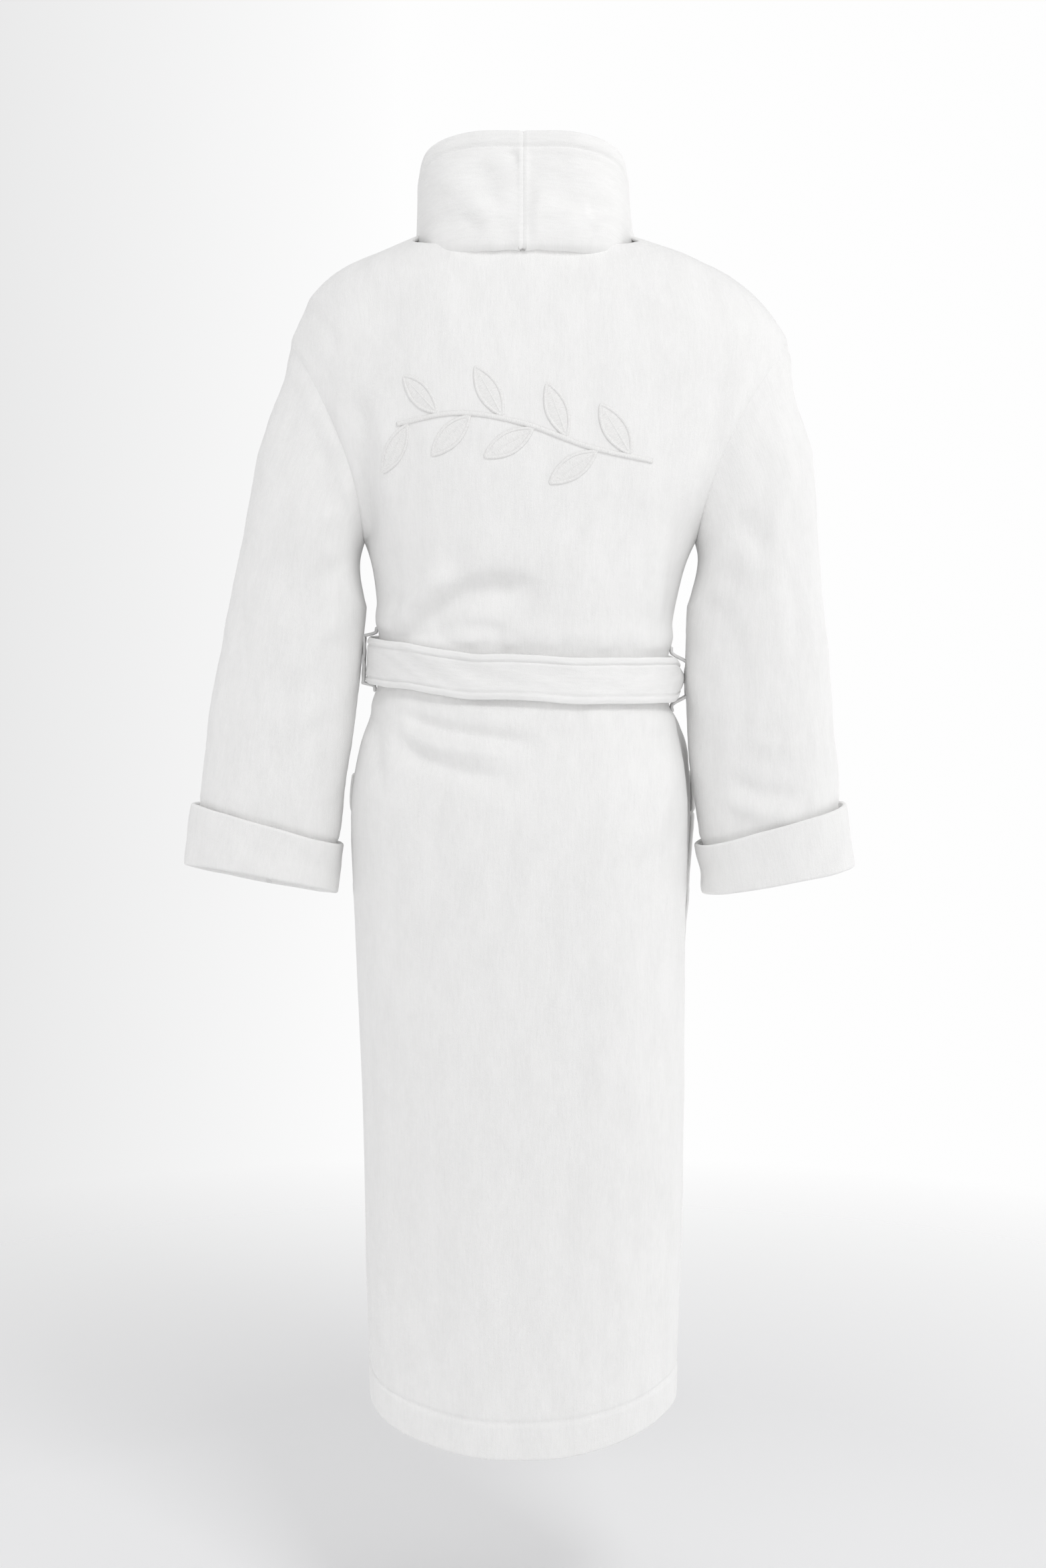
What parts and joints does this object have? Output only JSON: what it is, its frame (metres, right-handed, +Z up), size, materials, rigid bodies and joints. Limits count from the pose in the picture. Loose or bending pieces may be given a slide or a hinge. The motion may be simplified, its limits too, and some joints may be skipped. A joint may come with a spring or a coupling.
{
  "type": "bathrobe",
  "caption": "Long velour terry bathrobe with turned-up shawl collar, turned-back cuffs, patch pockets, a tied belt in loops and a leafy sprig embroidered on the back.",
  "frame": {"origin": "middle of the shoulder line inside the neck opening, where the robe rests on whatever holds its shoulders", "axes": "+Z up, the front faces -Y, +X is the wearer's left"},
  "size_m": [0.6968, 0.2813, 1.302],
  "materials": {
    "terry": "white cotton velour terry, sheared pile with fine vertical ribs",
    "cotton_tape": "white cotton herringbone tape",
    "satin_label": "blank white woven satin label",
    "embroidery_thread": "white satin-stitch embroidery thread, slightly glossy"
  },
  "bodies": {
    "garment": {"back_panel": "terry", "left_front_panel": "terry", "left_pocket": "terry", "right_front_panel": "terry", "right_pocket": "terry", "left_lapel": "terry", "right_lapel": "terry", "belt": "terry", "belt_knot": "terry", "left_belt_loop": "terry", "right_belt_loop": "terry", "neck_tape": "cotton_tape", "neck_label": "satin_label", "care_label": "satin_label", "embroidered_stem": "embroidery_thread", "embroidered_leaf_1": "embroidery_thread", "embroidered_leaf_2": "embroidery_thread", "embroidered_leaf_3": "embroidery_thread", "embroidered_leaf_4": "embroidery_thread", "embroidered_leaf_5": "embroidery_thread", "embroidered_leaf_6": "embroidery_thread", "embroidered_leaf_7": "embroidery_thread", "embroidered_leaf_8": "embroidery_thread"},
    "left_arm": {"left_sleeve": "terry", "left_cuff": "terry"},
    "right_arm": {"right_sleeve": "terry", "right_cuff": "terry"},
    "collar_stand": {"left_collar": "terry", "right_collar": "terry"},
    "left_tail": {"left_belt_tail": "terry"},
    "right_tail": {"right_belt_tail": "terry"},
    "hanger": {"hanging_loop": "cotton_tape"}
  },
  "joints": [
    {"name": "left_sleeve_lift", "type": "hinge", "parent": "garment", "child": "left_arm", "pos_m": [0.252, 0.006, -0.1], "axis": [0, -1, 0], "range_deg": [0, 40]},
    {"name": "right_sleeve_lift", "type": "hinge", "parent": "garment", "child": "right_arm", "pos_m": [-0.252, 0.006, -0.1], "axis": [0, 1, 0], "range_deg": [0, 40]},
    {"name": "collar_lean", "type": "hinge", "parent": "garment", "child": "collar_stand", "pos_m": [0, 0.087, -0.008], "axis": [-1, 0, 0], "range_deg": [0, 35]},
    {"name": "left_tail_swing", "type": "hinge", "parent": "garment", "child": "left_tail", "pos_m": [0, -0.134, -0.434], "axis": [-1, 0, 0], "range_deg": [0, 90]},
    {"name": "right_tail_swing", "type": "hinge", "parent": "garment", "child": "right_tail", "pos_m": [0, -0.134, -0.434], "axis": [-1, 0, 0], "range_deg": [0, 90]},
    {"name": "hanging_loop_flip", "type": "hinge", "parent": "garment", "child": "hanger", "pos_m": [0, 0.06, -0.01], "axis": [-1, 0, 0], "range_deg": [0, 125]}
  ]
}
